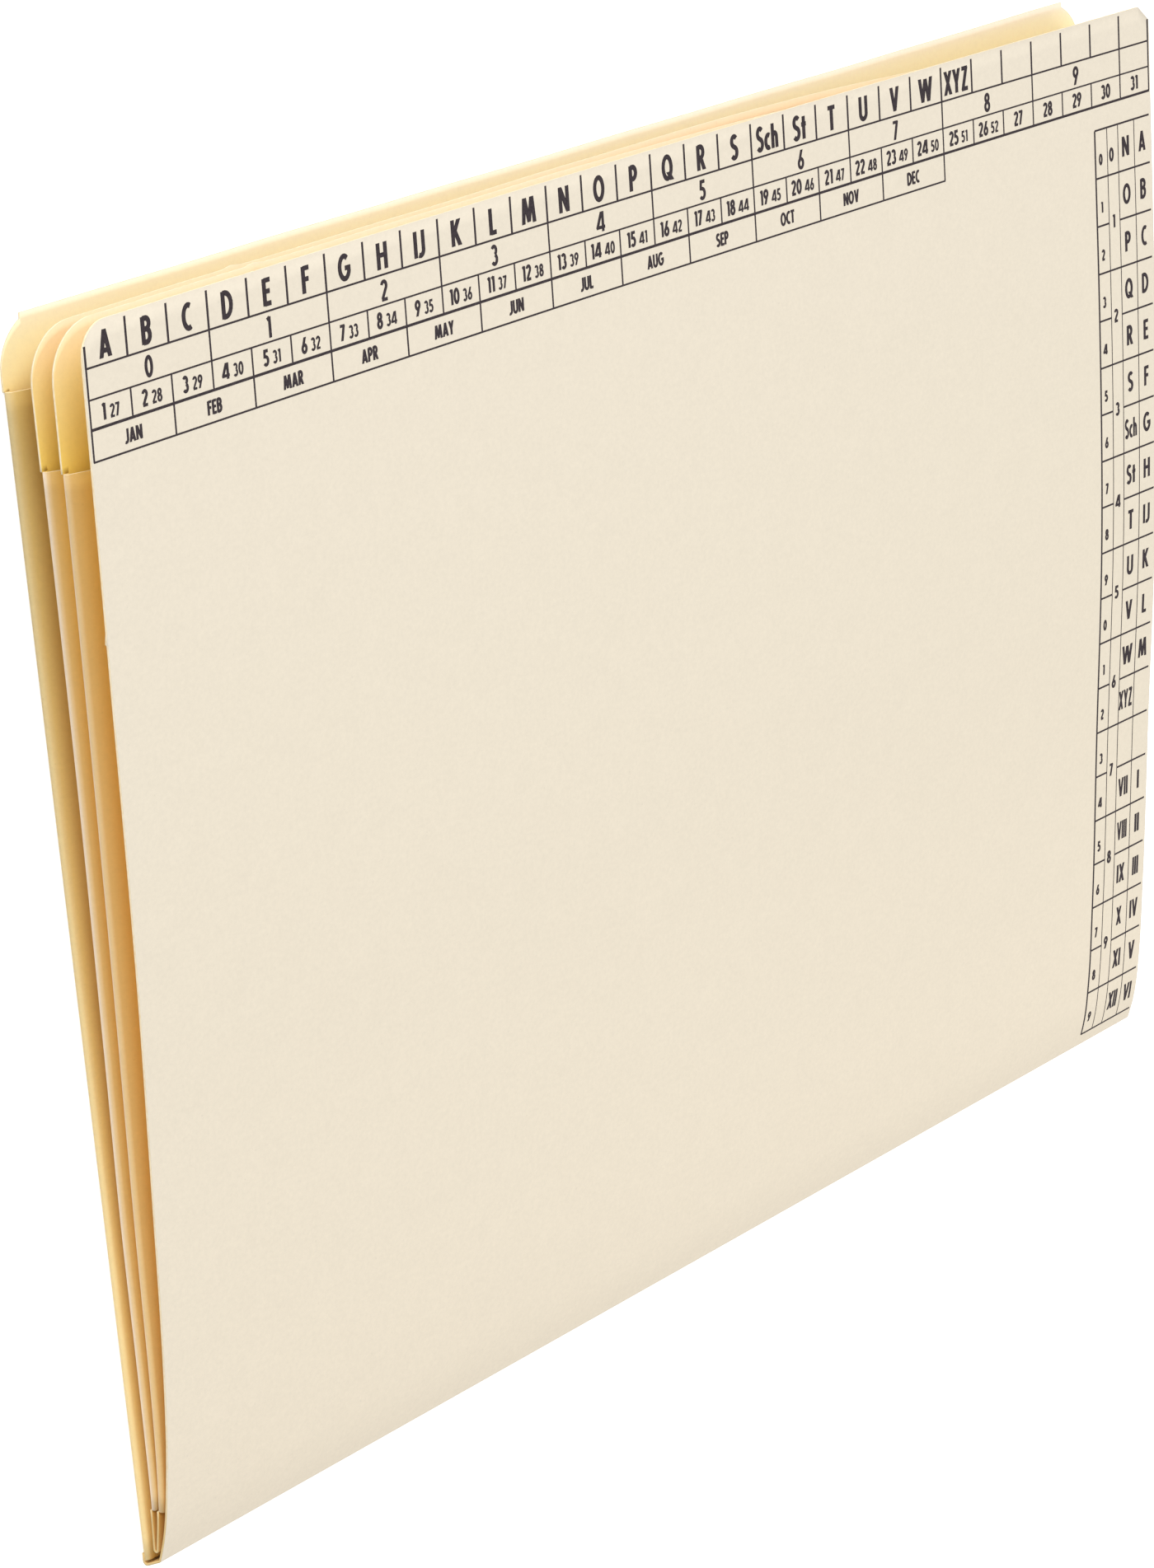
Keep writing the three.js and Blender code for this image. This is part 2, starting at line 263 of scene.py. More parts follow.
def flap_rows(side, y, level, seat, reach):
    """A side flap: the leaf bends round an arc at its edge, a slanted web rises to the glue line, and
    a glued strip lies under the next leaf. Returned as rows by stations, from the leaf outwards."""
    def inward_x(inward):
        """X at a distance in from the side edge."""
        return side * (HALF - inward)

    def seat_at(inward):
        """Height of the flap where it is glued: a card and a gap under the next leaf."""
        return seat(inward_x(inward), y) - CARD - GLUE_GAP

    leaf_z = level(inward_x(FOLD_MARGIN), y)
    glue_z = seat_at(reach)
    radius = np.minimum(FOLD_RADIUS, (glue_z - leaf_z) / 2)
    centre_in, centre_z = CARD / 2 + radius, leaf_z + radius
    run, rise = reach - centre_in, glue_z - centre_z
    web = np.sqrt(run**2 + rise**2 - radius**2)
    slant = np.arctan2(rise, run) - np.arctan2(radius, web)
    turn = (np.pi - slant)[:, None] * np.linspace(0, 1, FOLD_STATIONS)[None, :]
    inward = centre_in[:, None] - radius[:, None] * np.sin(turn)
    z = centre_z[:, None] - radius[:, None] * np.cos(turn)
    share = np.array([0.2, 0.4, 0.6, 0.8, 1.0])[None, :]
    web_in = inward[:, -1:] + (reach - inward[:, -1:]) * share
    web_z = z[:, -1:] + (glue_z[:, None] - z[:, -1:]) * share
    # The web is a little bowed, as card that was folded and lies slack
    web_z = web_z - WEB_SLACK * np.sin(np.pi * share) * smoothstep(rise, *SLACK_RISE)[:, None]
    end_in = reach + GLUED * GLUED_STATIONS
    end_z = np.stack([seat_at(place) for place in end_in], 1)
    inward = np.concatenate([inward, web_in, np.broadcast_to(end_in, end_z.shape)], 1)
    z = np.concatenate([z, web_z, end_z], 1)
    return np.stack([inward_x(inward), np.broadcast_to(y[:, None], z.shape), z], 2)


def in_metres(points):
    """Points in millimetres from the spine as points in metres from the folder's middle."""
    return (points - [0, MIDDLE_Y, 0]) * MM


def new_piece(name, points, faces, materials):
    """A mesh piece from points in metres and faces, with its materials, put into the scene."""
    mesh = bpy.data.meshes.new(name)
    mesh.from_pydata(points, [], faces)
    for material in materials:
        mesh.materials.append(material)
    piece = bpy.data.objects.new(name, mesh)
    bpy.context.scene.collection.objects.link(piece)
    return piece


def sheet_mesh(name, rows, flapped, flaps, materials, tone):
    """One folded sheet of card from its middle surface. rows is the grid down one leaf, round the fold
    and up the other. flapped lists the row ranges whose edge strips turn into flaps, and flaps gives
    each flap's rows, side, grid and spread of painted highlight and shade, and the grid is joined to
    the leaf at the fold's column. tone is how deep each point lies, which sets the painted light and
    shade in the card's colours."""
    count, columns = rows.shape[:2]
    index = np.arange(count * columns).reshape(count, columns)
    keep = np.ones((count - 1, columns - 1), bool)
    for low, high in flapped:
        keep[low:high, :EDGE_COLUMN] = False
        keep[low:high, columns - 1 - EDGE_COLUMN:] = False
    points, faces, tones = [rows.reshape(-1, 3)], [], [tone.reshape(-1)]
    folds = [np.zeros(count * columns)]

    def quads(grid, mask, turned):
        """Adds a face for each cell of the grid of point numbers that the mask keeps."""
        a, b, c, d = grid[:-1, :-1][mask], grid[:-1, 1:][mask], grid[1:, 1:][mask], grid[1:, :-1][mask]
        faces.append(np.stack([a, d, c, b] if turned else [a, b, c, d], 1))

    quads(index, keep, False)
    for (low, high), side, grid, spread in flaps:
        start = sum(len(p) for p in points)
        column = EDGE_COLUMN if side < 0 else columns - 1 - EDGE_COLUMN
        own = start + np.arange(grid.shape[0] * grid.shape[1]).reshape(grid.shape[:2])
        grid_index = np.concatenate([index[low:high + 1, column:column + 1], own], 1)
        points.append(grid.reshape(-1, 3))
        tones.append(np.broadcast_to(tone[low:high + 1, column][:, None], own.shape).reshape(-1))
        steps = np.linalg.norm(np.diff(grid, axis=1), axis=2).cumsum(1)
        # A flap's first points count as 0.3 mm along it, so that only the leaf is at 0
        first_reach = 0.3
        reached = np.concatenate([np.full((len(grid), 1), first_reach), first_reach + steps], 1)
        folds.append((np.clip(reached / reached[:, -3:-2], 0, 1)**spread).reshape(-1))
        quads(grid_index, np.ones((grid_index.shape[0] - 1, grid_index.shape[1] - 1), bool), side < 0)
    points, faces, tones = np.concatenate(points), np.concatenate(faces), np.concatenate(tones)
    folds = np.concatenate(folds)
    used, inverse = np.unique(faces, return_inverse=True)
    faces = inverse.reshape(faces.shape)
    piece = new_piece(name, in_metres(points[used]), faces.tolist(), materials)
    for attribute, values in (("depth", tones), ("flap", folds)):
        piece.data.attributes.new(attribute, "FLOAT", "POINT").data.foreach_set(
            "value", values[used].astype(np.float32))
    piece.data.polygons.foreach_set("use_smooth", np.ones(len(faces), bool))
    wall = piece.modifiers.new("card thickness", "SOLIDIFY")
    wall.thickness = CARD * MM
    wall.offset = 0
    wall.use_even_offset = True
    wall.material_offset = 1
    wall.material_offset_rim = 2
    return piece


def outer_sheet(materials):
    """Back, spine and front in one grid: down the back, round both spine folds and up the front."""
    bare = between(back_top(), BACK_FLAP[1], count=12)
    flapped = between(BACK_FLAP[1], BACK_FLAP[0], count=64)
    leaf_start = CARD / 2 + SPINE_LEAN + 3 * FOLD_RADIUS
    # Rows closer together beside the spine, with extra ones a little below the nicks
    near = (NICKS[:, None] + np.linspace(-1.2, 1.2, 7) - leaf_start) / (FRONT_HEIGHT - leaf_start)
    share = np.unique(np.concatenate([np.linspace(0, 1, 96)**1.4, near.ravel()]))[:, None]
    front = leaf_start + (front_top() - leaf_start) * share
    foot = np.stack([np.full(X.shape, BACK_FLAP[0]), np.full(X.shape, CARD / 2)], 1)
    first = np.full((len(X), 2), CARD / 2)
    second = first + [SPINE_LEAN, SPINE_RISE]
    leaf = np.stack([front[0], front_level(X, front[0])], 1)
    arcs = np.concatenate([rounded(first, foot, second, FOLD_RADIUS, steps=7),
                           rounded(second, first, leaf, FOLD_RADIUS, steps=7)], 1)
    arcs = arcs.transpose(1, 0, 2)
    spine = np.concatenate([np.broadcast_to(X, arcs.shape[:2])[..., None], arcs], 2)
    front_rows = rows_of(front, front_level)
    # The nicks' fibres stand out to the left and up, as bell curves along the edge
    nicked = np.exp(-((front[:, :1] - NICKS) / NICK_WIDTH)**2).sum(1)
    front_rows[:, 0, 0] -= NICK_LENGTH * nicked
    front_rows[:, 0, 2] += NICK_LIFT * nicked
    rows = np.concatenate([rows_of(bare, back_level), rows_of(flapped[1:], back_level), spine,
                           front_rows])
    low, high = len(bare) - 1, len(bare) + len(flapped) - 2
    y = flapped[:, 0]
    flaps = []
    for side in (-1, 1):
        grid = flap_rows(side, y, back_level, rear_divider_level, WIDE_REACH)
        # The flap's lower end reaches down beside the spine, less where it is high
        high_share = np.clip((grid[-1, :, 2] - TIP_BASE) / TIP_SPAN, 0, 1)
        grid[-1, :, 1] -= TIP_REACH - TIP_LESS * high_share
        flaps.append(((low, high), side, grid, BACK_SPREAD))
    tone = 1 - rows[..., 1] / FRONT_HEIGHT
    return sheet_mesh("outer_sheet", rows, [(low, high)], flaps, materials, tone)


def inner_sheet(materials):
    """Both dividers in one grid: down the rear divider, round the fold and up the front divider."""
    fold_y = between(DIVIDER_FLAP[1], DIVIDER_FLAP[0], count=60)
    rear_edge = divider_top(REAR_DIVIDER_HEIGHT, seed=2, low_right=3.6, start=185)
    front_edge = divider_top(FRONT_DIVIDER_HEIGHT, seed=3, low_right=2.6, start=110)
    rear_top = between(rear_edge, DIVIDER_FLAP[1], count=16)
    front_top_rows = between(DIVIDER_FLAP[1], front_edge, count=16)
    foot = between(DIVIDER_FLAP[0], INSERT_FOLD, count=8)
    low = rear_divider_level(X, np.full(X.shape, INSERT_FOLD))
    high = front_divider_level(X, np.full(X.shape, INSERT_FOLD))
    turn = np.linspace(0, np.pi, FOLD_STATIONS)[1:-1, None]
    radius = (high - low) / 2
    bend = np.stack([np.broadcast_to(X, (len(turn), len(X))), INSERT_FOLD - radius * np.sin(turn),
                     low + radius - radius * np.cos(turn)], 2)
    rows = np.concatenate([
        rows_of(rear_top, rear_divider_level), rows_of(fold_y[1:], rear_divider_level),
        rows_of(foot[1:], rear_divider_level), bend, rows_of(foot[::-1], front_divider_level),
        rows_of(fold_y[::-1][1:], front_divider_level), rows_of(front_top_rows[1:], front_divider_level)])
    rear = (len(rear_top) - 1, len(rear_top) + len(fold_y) - 2)
    end = len(rows) - len(front_top_rows)
    front = (end - len(fold_y) + 1, end)
    flaps = []
    for span, y, level, seat, reach, spread in (
            (rear, fold_y[:, 0], rear_divider_level, front_divider_level, NARROW_REACH,
             REAR_SPREAD),
            (front, fold_y[::-1, 0], front_divider_level, front_level, WIDE_REACH,
             FRONT_SPREAD)):
        flaps += [(span, side, flap_rows(side, y, level, seat, reach), spread) for side in (-1, 1)]
    tone = 1 - rows[..., 1] / FRONT_HEIGHT
    return sheet_mesh("inner_sheet", rows, [rear, front], flaps, materials, tone)


# Printed index. Distances are in millimetres on the front: across from the left line of the table, and
# down the card from the top edge. DOWN_Y is the Y of each distance in DOWN_CARD along the bent front.

PRINT_LEFT = 0.63 - HALF
DOWN_CARD = np.array([0, 25, 50, 75, 100, 125, 150, 175, 190, 200, 210, 215, 220, 225.3])
DOWN_Y = np.array([226.7, 201.7, 176.7, 151.75, 126.76, 101.79, 76.85, 51.92, 36.98, 27.04, 17.13,
                   12.20, 7.29, 2.10])

# Ink ribbons: how far they reach into and over the card, the step between layers, how finely strokes,
# lines and arcs (in degrees) are cut, the limits of slants and mitres, and the relative weights

INK_DEPTH = 0.06
INK_LIFT = 0.03
LAYER_STEP = 0.006
STRAIGHT_CUTS, CURVE_CUTS = 7, 2
LINE_STEP = 2.5
ARC_STEP = 15
LEAST_SLOPE = 0.3
MITRE_LIMIT = 0.8
SLANT_WEIGHT, BAR_WEIGHT, CURVE_WEIGHT = 0.98, 0.86, 0.95


def on_front(across, down, lift):
    """A point of the flat print carried onto the front's outer face: its middle surface plus half
    the card and the lift along the surface's normal."""
    x = PRINT_LEFT + across
    y = np.interp(down, DOWN_CARD, DOWN_Y)
    z = front_level(x, y)
    step = 0.05
    slope_x = (front_level(x + step, y) - front_level(x - step, y)) / (2 * step)
    slope_y = (front_level(x, y + step) - front_level(x, y - step)) / (2 * step)
    normal = np.stack([-slope_x, -slope_y, np.ones_like(z)], -1)
    normal /= np.linalg.norm(normal, axis=-1, keepdims=True)
    return np.stack([x, y, z], -1) + normal * (CARD / 2 + lift)[..., None]


def stroke(points, width, flat_cut=False):
    """Left and right edges of a pen stroke along a path. Inner points are mitred. A slanting straight
    stroke with a flat cut ends level with the line of text."""
    points = np.asarray(points, float)
    along = np.diff(points, axis=0)
    along /= np.linalg.norm(along, axis=1)[:, None]
    if flat_cut:
        half = np.array([width / 2 / max(abs(along[0, 1]), LEAST_SLOPE), 0.0])
        side = np.tile(half * np.sign(along[0, 1] or 1), (len(points), 1))
        return points - side, points + side
    normals = np.stack([-along[:, 1], along[:, 0]], 1)
    first, last = normals[:1], normals[-1:]
    if np.allclose(points[0], points[-1]):
        first = last = (normals[:1] + normals[-1:]) / 2
        first = last = first / (first**2).sum()
    joints = normals[:-1] + normals[1:]
    joints = joints * (2 / np.maximum((joints**2).sum(1), MITRE_LIMIT))[:, None]
    side = np.concatenate([first, joints, last]) * width / 2
    return points + side, points - side


def oval(cx, cy, rx, ry, start, end):
    """Points of an ellipse from one angle to another, in degrees."""
    a = np.radians(np.linspace(start, end, max(5, int(abs(end - start) / ARC_STEP) + 1)))
    return np.stack([cx + rx * np.cos(a), cy + ry * np.sin(a)], 1)


def path(*parts):
    """Points and arcs joined into one path."""
    return np.concatenate([np.atleast_2d(np.asarray(part, float)) for part in parts])


LETTERS = {
    "A": (0.62, [("/", (.09, 0), (.31, 1)), ("/", (.53, 0), (.31, 1)), ("-", (.17, .25), (.45, .25))]),
    "B": (0.50, [("|", .09), ("~", path((.09, .93), (.22, .93), oval(.24, .735, .165, .195, 80, -80),
                                      (.22, .54), (.09, .54))),
                 ("~", path((.09, .54), (.22, .54), oval(.25, .305, .17, .235, 80, -80), (.22, .07),
                            (.09, .07)))]),
    "C": (0.50, [("~", oval(.33, .5, .25, .42, 62, 298))]),
    "D": (0.58, [("|", .09), ("~", path((.09, .93), (.17, .93), oval(.2, .5, .3, .43, 85, -85),
                                      (.17, .07), (.09, .07)))]),
    "E": (0.42, [("|", .09), ("-", (.09, .93), (.42, .93)), ("-", (.09, .52), (.38, .52)),
                 ("-", (.09, .07), (.42, .07))]),
    "F": (0.41, [("|", .09), ("-", (.09, .93), (.41, .93)), ("-", (.09, .52), (.37, .52))]),
    "G": (0.64, [("~", oval(.34, .5, .26, .42, 50, 345)), ("-", (.36, .47), (.67, .47))]),
    "H": (0.58, [("|", .09), ("|", .49), ("-", (.09, .53), (.49, .53))]),
    "I": (0.18, [("|", .09)]),
    "J": (0.37, [("~", path((.28, 1), (.28, .26), oval(.10, .27, .18, .21, -12, -120)))]),
    "K": (0.56, [("|", .09), ("/", (.16, .48), (.45, 1)), ("/", (.47, 0), (.21, .58))]),
    "L": (0.40, [("|", .09), ("-", (.09, .07), (.40, .07))]),
    "M": (0.84, [("/", (.10, 0), (.19, 1)), ("/", (.42, .05), (.22, 1)), ("/", (.42, .05), (.62, 1)),
                 ("/", (.74, 0), (.65, 1))]),
    "N": (0.60, [("|", .09), ("|", .51), ("/", (.49, .04), (.11, .96))]),
    "O": (0.66, [("~", oval(.33, .5, .245, .43, 0, 360))]),
    "P": (0.49, [("|", .09), ("~", path((.09, .93), (.2, .93), oval(.23, .70, .17, .23, 80, -80),
                                      (.2, .47), (.09, .47)))]),
    "Q": (0.68, [("~", oval(.33, .5, .245, .43, 0, 360)), ("/", (.60, -.02), (.38, .32))]),
    "R": (0.52, [("|", .09), ("~", path((.09, .93), (.2, .93), oval(.23, .71, .165, .22, 80, -80),
                                      (.2, .49), (.09, .49))), ("/", (.43, 0), (.24, .5))]),
    "S": (0.48, [("~", path(oval(.25, .73, .155, .2, 35, 250), oval(.23, .285, .165, .215, 75, -145)))]),
    "T": (0.46, [("|", .23), ("-", (0, .93), (.46, .93))]),
    "U": (0.56, [("~", path((.09, 1), (.09, .3), oval(.28, .3, .19, .23, 195, 345), (.47, .3),
                            (.47, 1)))]),
    "V": (0.60, [("/", (.30, 0), (.09, 1)), ("/", (.30, 0), (.51, 1))]),
    "W": (0.94, [("/", (.27, 0), (.09, 1)), ("/", (.27, 0), (.46, .96)), ("/", (.67, 0), (.48, .96)),
                 ("/", (.67, 0), (.85, 1))]),
    "X": (0.56, [("/", (.09, 0), (.47, 1)), ("/", (.47, 0), (.09, 1))]),
    "Y": (0.56, [("/", (.28, .42), (.09, 1)), ("/", (.28, .42), (.47, 1)), ("|-", .28, 0, .46)]),
    "Z": (0.50, [("-", (.05, .93), (.46, .93)), ("/", (.11, .04), (.39, .96)),
                 ("-", (.04, .07), (.47, .07))]),
    "c": (0.40, [("~", oval(.25, .33, .175, .26, 60, 300))]),
    "h": (0.42, [("|", .08), ("~", path((.08, .36), oval(.21, .42, .125, .18, 165, 15), (.34, 0)))]),
    "t": (0.32, [("|-", .16, 0, .92), ("-", (.01, .6), (.31, .6))]),
    "0": (0.54, [("~", oval(.27, .5, .185, .43, 0, 360))]),
    "1": (0.32, [("|", .22), ("-", (.05, .87), (.22, .97))]),
    "2": (0.50, [("~", path(oval(.25, .73, .165, .205, 165, -30), (.10, .1))),
                 ("-", (.05, .07), (.46, .07))]),
    "3": (0.50, [("~", oval(.23, .735, .155, .2, 150, -75)), ("~", oval(.23, .29, .175, .225, 75, -150))]),
    "4": (0.66, [("|", .50), ("-", (.0, .22), (.66, .22)), ("/", (.07, .22), (.42, 1))]),
    "5": (0.50, [("~", path((.44, .93), (.14, .93), (.11, .5))),
                 ("~", oval(.22, .32, .185, .25, 110, -145))]),
    "6": (0.52, [("~", oval(.26, .3, .175, .235, 0, 360)), ("/", (.13, .38), (.35, 1))]),
    "7": (0.46, [("-", (.02, .93), (.44, .93)), ("/", (.15, 0), (.37, .95))]),
    "8": (0.52, [("~", oval(.26, .745, .145, .19, 0, 360)), ("~", oval(.26, .285, .175, .22, 0, 360))]),
    "9": (0.52, [("~", oval(.26, .7, .175, .235, 0, 360)), ("/", (.17, 0), (.39, .62))]),
}
SPACING = 0.07


def text_width(words):
    """Width of a word in cap heights."""
    return sum(LETTERS[c][0] for c in words) + SPACING * (len(words) - 1)


class Ink:
    """Collects flat strokes and turns them into thin closed ribbons of ink on the card."""

    def __init__(self):
        self.points, self.faces, self.count = [], [], 0

    def ribbon(self, left, right, layer=0):
        """A rectangle of ink carried along the two edges, which are cut finer first: four corners at
        each station, and a cap at each end. Strokes that cross get slightly different heights."""
        top = INK_LIFT + LAYER_STEP * layer
        stations = np.arange(len(left))
        cuts = STRAIGHT_CUTS if len(left) == 2 else CURVE_CUTS
        finer = np.linspace(0, len(left) - 1, (len(left) - 1) * cuts + 1)
        left, right = (np.stack([np.interp(finer, stations, edge[:, k]) for k in (0, 1)], 1)
                       for edge in (left, right))
        corners = [on_front(edge[:, 0], edge[:, 1], np.full(len(edge), lift))
                   for edge, lift in ((left, top), (right, top), (right, -INK_DEPTH),
                                      (left, -INK_DEPTH))]
        grid = np.stack(corners, 1)
        n = len(left)
        index = self.count + np.arange(n * 4).reshape(n, 4)
        ring = np.concatenate([index, index[:, :1]], 1)
        sides = np.stack([ring[:-1, :-1], ring[:-1, 1:], ring[1:, 1:], ring[1:, :-1]], 2).reshape(-1, 4)
        faces = np.concatenate([sides, index[:1, ::-1], index[-1:]])
        a, b, c = grid[0, 0], grid[0, 1], grid[1, 0]
        if np.cross(b - a, c - a)[2] < 0:
            faces = faces[:, ::-1]
        self.points.append(grid.reshape(-1, 3))
        self.faces.append(faces)
        self.count += n * 4

    def line(self, start, end, width, layer=0):
        """A ruled line, cut into short lengths so that it follows the bent card."""
        start, end = np.array(start, float), np.array(end, float)
        length = np.linalg.norm(end - start)
        steps = np.linspace(0, 1, max(2, int(length / LINE_STEP) + 2))[:, None]
        left, right = stroke(start + (end - start) * steps, width)
        self.ribbon(left, right, layer)

    def text(self, words, centre, baseline, style, condense=1.0):
        """Words centred across on a place, standing on a baseline. Each letter is made of straight
        strokes, bars and arcs on a cell one cap height tall. A style is a cap height and a weight."""
        height, weight = style
        pen = centre - text_width(words) * height * condense / 2
        for letter in words:
            width, marks = LETTERS[letter]
            for layer, (kind, *shape) in enumerate(marks):
                if kind == "|":
                    pair = stroke([(shape[0], 0), (shape[0], 1)], weight)
                elif kind == "|-":
                    pair = stroke([(shape[0], shape[1]), (shape[0], shape[2])], weight)
                elif kind == "/":
                    pair = stroke(shape, weight * SLANT_WEIGHT, flat_cut=True)
                elif kind == "-":
                    pair = stroke(shape, weight * BAR_WEIGHT)
                else:
                    pair = stroke(shape[0], weight * CURVE_WEIGHT)
                edges = [np.stack([pen + edge[:, 0] * height * condense,
                                   baseline - edge[:, 1] * height], 1) for edge in pair]
                self.ribbon(*edges, layer=1 + layer)
            pen += (width + SPACING) * height * condense

    def piece(self, name, material):
        """All ribbons so far as one mesh piece."""
        points, faces = in_metres(np.concatenate(self.points)), np.concatenate(self.faces).tolist()
        return new_piece(name, points, faces, [material])


# The table along the top has 31 columns and the one down the right edge 20 rows, at one pitch.
# Ruled lines are given down the card, with their widths, and rows of text by their baselines.

PITCH = 10
HEADER_COLUMNS, WEEK_COLUMNS, MONTH_COLUMNS, SIDE_ROWS = 31, 26, 24, 20
LINE_OVERHANG = 0.12
HEADER_WIDTHS = (0.34, 0.30, 0.50, 0.33)
UPRIGHT_WIDTHS = (0.50, 0.42, 0.38, 0.40)
SIDE_FRAME_WIDTH, SIDE_INNER_WIDTH, SIDE_ROW_WIDTH = 0.50, 0.22, 0.38
BASELINES = (6.5, 12.1, 16.7, 21.82)
INITIAL_STYLE = (4.72, 0.205)
DIGIT_STYLE = (3.68, 0.19)
DAY_STYLE = (2.8, 0.215)
WEEK_STYLE = (2.25, 0.195)
MONTH_STYLE = (2.45, 0.225)
WEEK_GAP = 1.0
SIDE_BASELINE, SIDE_STYLE = 7.1, (4.15, 0.195)
UNIT_BASELINE, UNIT_STYLE = 7.3, (2.2, 0.25)
TENS_BASELINE, TENS_STYLE = 1.2, (2.7, 0.225)
ZERO_BASELINE, ZERO_STYLE = 7.25, (2.75, 0.225)
HEADER = (0.699, 7.461, 12.78, 17.812, 23.228)
HEADER_WORDS = "A B C D E F G H IJ K L M N O P Q R S Sch St T U V W XYZ".split()
MONTHS = "JAN FEB MAR APR MAY JUN JUL AUG SEP OCT NOV DEC".split()
SIDE_LEFT, SIDE_TOP, SIDE_RIGHT = 290.72, 22.785, 309.75
SIDE_COLUMNS = (0, 4.2, 8.0, 13.7)
THIRD = "N O P Q R S Sch St T U V W XYZ - VII VIII IX X XI XII".split()
FOURTH = "A B C D E F G H IJ K L M - - I II III IV V VI".split()
# How much narrower some words are set, to fit their cells
HEADER_CONDENSE = {"XYZ": 0.94, "Sch": 0.96}
THIRD_CONDENSE = {"Sch": 0.72, "XYZ": 0.68, "St": 0.9, "VIII": 0.66, "VII": 0.78, "XII": 0.78,
                  "XI": 0.85, "IX": 0.85, "X": 0.8}
FOURTH_CONDENSE = {"M": 0.9, "VI": 0.85, "IV": 0.85, "III": 0.8}


def index_lines(material):
    """The ruled lines of the table along the top edge and of the one down the right edge."""
    ink = Ink()
    top, *levels = HEADER
    first, second, third, fourth = levels
    for level, width in zip(levels, HEADER_WIDTHS):
        columns = MONTH_COLUMNS if level == fourth else HEADER_COLUMNS
        ink.line((-LINE_OVERHANG, level), (PITCH * columns + LINE_OVERHANG, level), width, 1)
    initials, digits, days, months = UPRIGHT_WIDTHS
    for k in range(HEADER_COLUMNS + 1):
        # The two outer lines stop short of the card's corners
        start = {0: 3.7, HEADER_COLUMNS: 3.0}.get(k, top)
        across = PITCH * k
        ink.line((across, start), (across, first), initials)
        if k % 3 == 0 or k == HEADER_COLUMNS:
            ink.line((across, first), (across, second), digits)
        ink.line((across, second), (across, third), days)
        if k % 2 == 0 and k <= MONTH_COLUMNS:
            ink.line((across, third), (across, fourth), months)
    for k, offset in enumerate(SIDE_COLUMNS):
        width = SIDE_FRAME_WIDTH if k == 0 else SIDE_INNER_WIDTH
        across = SIDE_LEFT + offset
        ink.line((across, SIDE_TOP), (across, SIDE_TOP + PITCH * SIDE_ROWS), width)
    for row in range(SIDE_ROWS + 1):
        down = SIDE_TOP + PITCH * row
        if row in (0, SIDE_ROWS) or row % 2:
            ink.line((SIDE_LEFT, down), (SIDE_RIGHT, down), SIDE_ROW_WIDTH, 1)
        else:
            ink.line((SIDE_LEFT, down), (SIDE_LEFT + SIDE_COLUMNS[1], down), SIDE_ROW_WIDTH, 1)
            ink.line((SIDE_LEFT + SIDE_COLUMNS[2], down), (SIDE_RIGHT, down), SIDE_ROW_WIDTH, 1)
    return ink.piece("index_lines", material)


def index_letters(material):
    """Letters, digits, days, weeks and months of a plain filing index, and the table at the side."""
    ink = Ink()
    initials, digits, days, months = BASELINES
    for k, words in enumerate(HEADER_WORDS):
        ink.text(words, PITCH * k + 4.9, initials, INITIAL_STYLE, HEADER_CONDENSE.get(words, 1.0))
    for k in range(10):
        ink.text(str(k), 3 * PITCH * k + 14.8, digits, DIGIT_STYLE)
    for k in range(HEADER_COLUMNS):
        day, week = str(k + 1), str(k + 27)
        middle = PITCH * k + 4.95
        if k < WEEK_COLUMNS:
            day_width = text_width(day) * DAY_STYLE[0]
            week_width = text_width(week) * WEEK_STYLE[0]
            total = day_width + WEEK_GAP + week_width
            ink.text(day, middle - total / 2 + day_width / 2, days, DAY_STYLE)
            ink.text(week, middle + total / 2 - week_width / 2, days, WEEK_STYLE)
        else:
            ink.text(day, middle, days, DAY_STYLE)
    for k, month in enumerate(MONTHS):
        ink.text(month, 2 * PITCH * k + 9.8, months, MONTH_STYLE, 0.98)
    for row in range(SIDE_ROWS):
        down = SIDE_TOP + PITCH * row
        ink.text(str(row % 10), SIDE_LEFT + 1.85, down + UNIT_BASELINE, UNIT_STYLE, 0.95)
        for words, across, condense, usual in ((THIRD[row], 10.6, THIRD_CONDENSE, 0.97),
                                               (FOURTH[row], 16.4, FOURTH_CONDENSE, 0.93)):
            if words != "-":
                ink.text(words, SIDE_LEFT + across, down + SIDE_BASELINE, SIDE_STYLE,
                         condense.get(words, usual))
    ink.text("0", SIDE_LEFT + 5.6, SIDE_TOP + ZERO_BASELINE, ZERO_STYLE)
    for k in range(1, 10):
        ink.text(str(k), SIDE_LEFT + 5.85, SIDE_TOP + 2 * PITCH * k + TENS_BASELINE, TENS_STYLE)
    return ink.piece("index_letters", material)


# Materials


def linear(hex_colour):
    """An sRGB hex colour as linear red, green and blue."""
    parts = np.array([int(hex_colour[i:i + 2], 16) for i in (1, 3, 5)]) / 255
    low = parts / 12.92
    return (*np.where(parts <= 0.04045, low, ((parts + 0.055) / 1.055) ** 2.4), 1.0)


def add(tree, kind, settings=None, **links):
    """Adds a node with its settings, and links its inputs from output sockets or sets their values."""
    node = tree.nodes.new(kind)
    for key, value in (settings or {}).items():
        setattr(node, key, value)
    for key, value in links.items():
        name = key.replace("_", " ")
        socket = node.inputs[int(key[1:])] if key[0] == "n" and key[1:].isdigit() else node.inputs[name]
        if isinstance(value, bpy.types.NodeSocket):
            tree.links.new(value, socket)
        else:
            socket.default_value = value
    return node


def ramp(tree, factor, stops):
    """A colour ramp with hex colours at places from 0 to 1."""
    node = add(tree, "ShaderNodeValToRGB", Fac=factor)
    elements = node.color_ramp.elements
    elements[0].position, elements[0].color = stops[0][0], linear(stops[0][1])
    elements[1].position, elements[1].color = stops[-1][0], linear(stops[-1][1])
    for place, colour in stops[1:-1]:
        elements.new(place).color = linear(colour)
    return node


